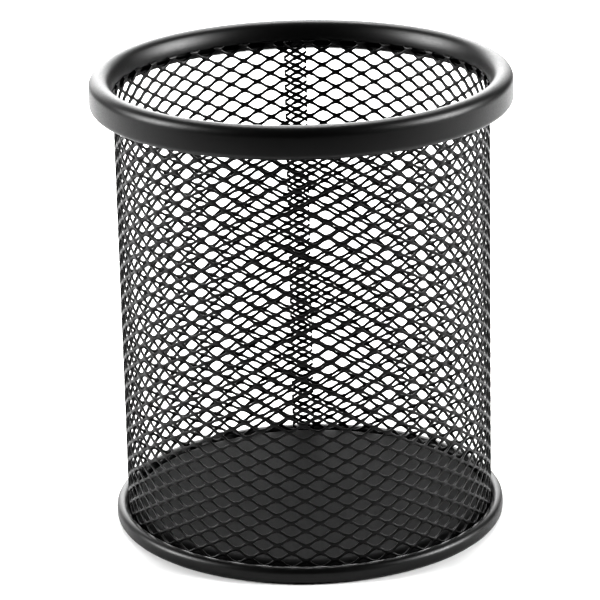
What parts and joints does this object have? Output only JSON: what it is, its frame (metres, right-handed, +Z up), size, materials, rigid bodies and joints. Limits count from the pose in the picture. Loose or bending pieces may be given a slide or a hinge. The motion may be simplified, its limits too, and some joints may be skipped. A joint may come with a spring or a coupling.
{
  "type": "pen holder cup",
  "caption": "Round desk cup for pens: an expanded-metal mesh wall between a thick rolled rim and a raised flat floor with a rolled base ring.",
  "frame": {"origin": "centre of the ring-shaped face the cup stands on", "axes": "+Z up along the cup's axis to its open mouth; +Y towards the back wall, where the sheet's seam is; +X to the right seen from the front"},
  "size_m": [0.09, 0.09, 0.1],
  "materials": {
    "mesh_sleeve": "satin black powder coat",
    "top_rim": "satin black powder coat",
    "floor_plate": "matt black powder coat",
    "base_ring": "satin black powder coat"
  },
  "bodies": {
    "root": {"mesh_sleeve": "mesh_sleeve", "top_rim": "top_rim", "floor_plate": "floor_plate", "base_ring": "base_ring"}
  },
  "joints": []
}
